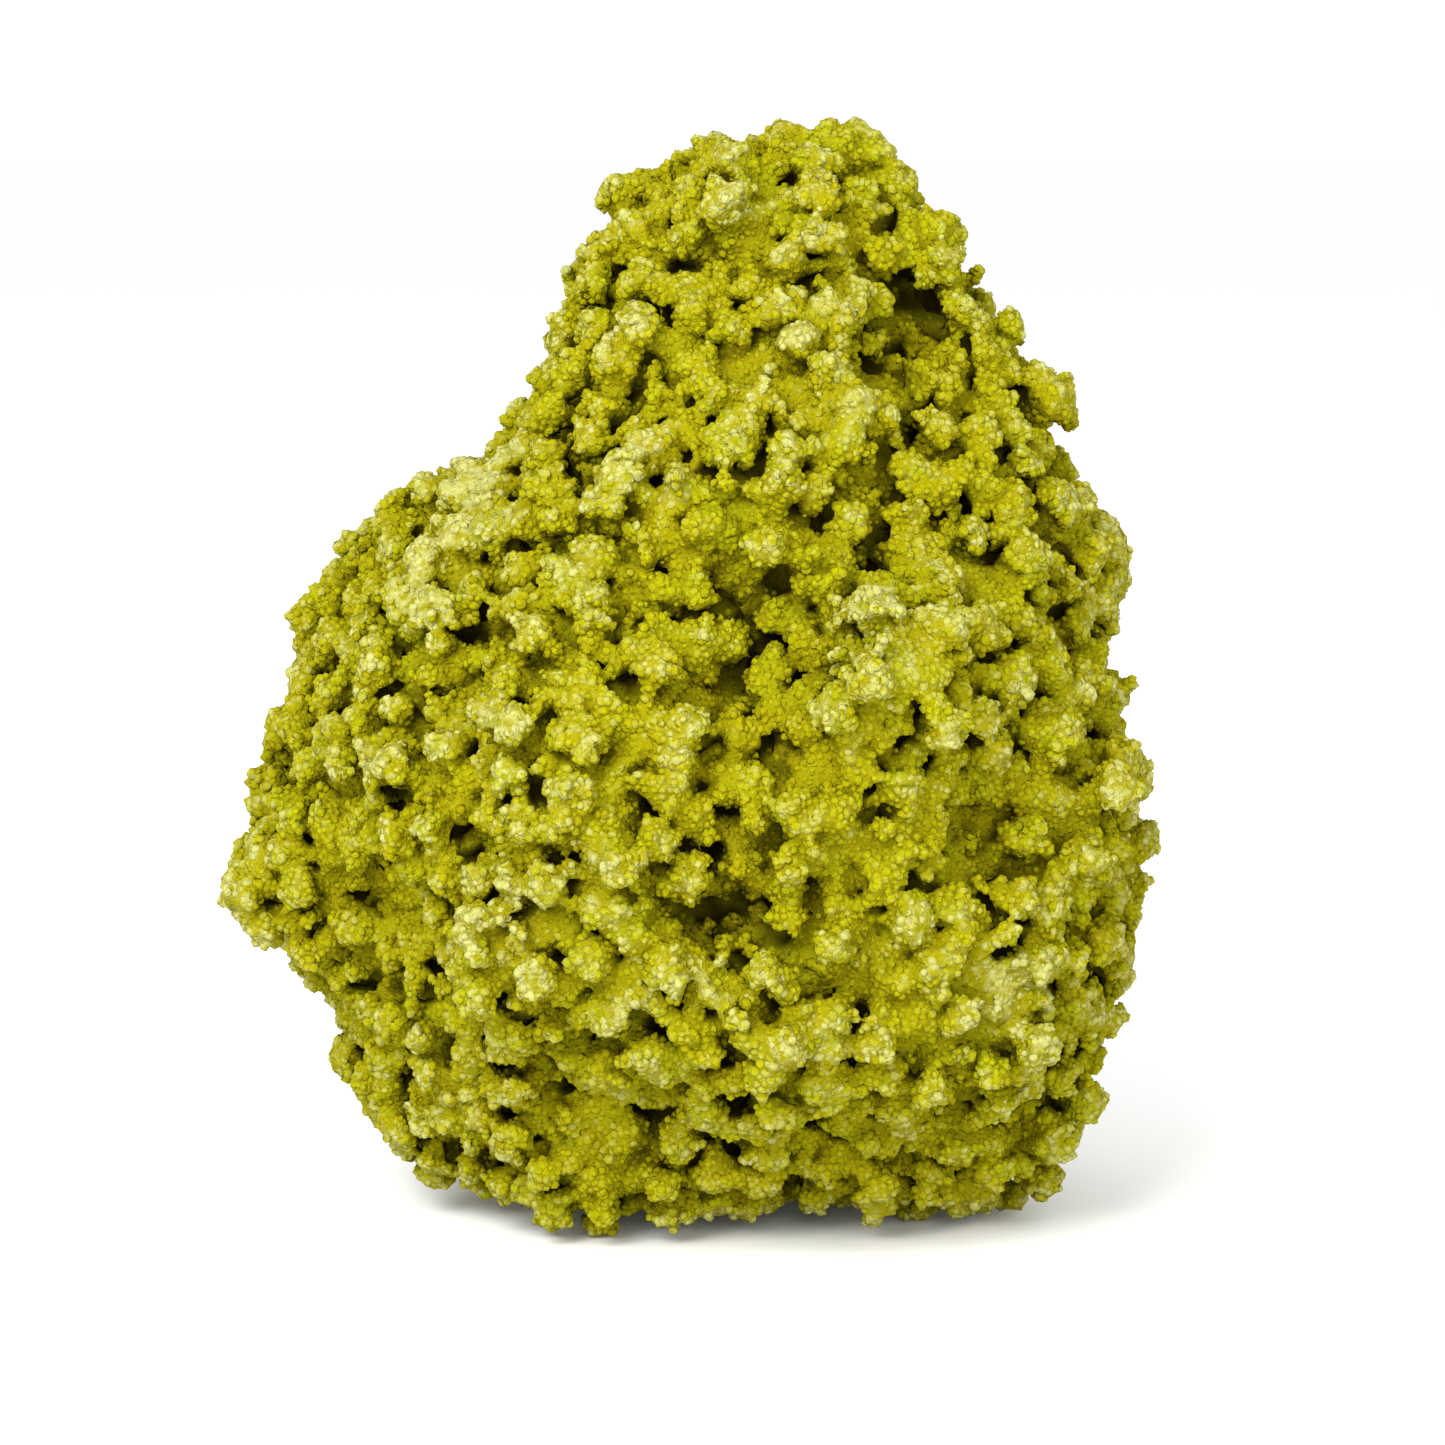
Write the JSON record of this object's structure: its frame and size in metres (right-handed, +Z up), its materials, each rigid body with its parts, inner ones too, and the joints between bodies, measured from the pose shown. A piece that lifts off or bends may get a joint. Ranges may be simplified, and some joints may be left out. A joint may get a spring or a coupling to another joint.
{
  "type": "nontronite specimen",
  "caption": "Freestanding hand-sized nontronite specimen: one earthy yellow-green mass with a crust of fused rounded spherules, deep pits, a knobby peak and a side lobe.",
  "frame": {"origin": "under the middle of the specimen, on the plane that it rests on", "axes": "+Z up from the resting plane to the peak, the longest extent; +X to the right as seen from the front; front towards -Y, the shortest extent along Y"},
  "size_m": [0.0798, 0.076, 0.0949],
  "materials": {
    "nontronite_clay": "dull, powdery yellow-green clay; paler and drier on worn tips, deeper olive in the crevices"
  },
  "bodies": {
    "root": {"nontronite_mass": "nontronite_clay"}
  },
  "joints": []
}
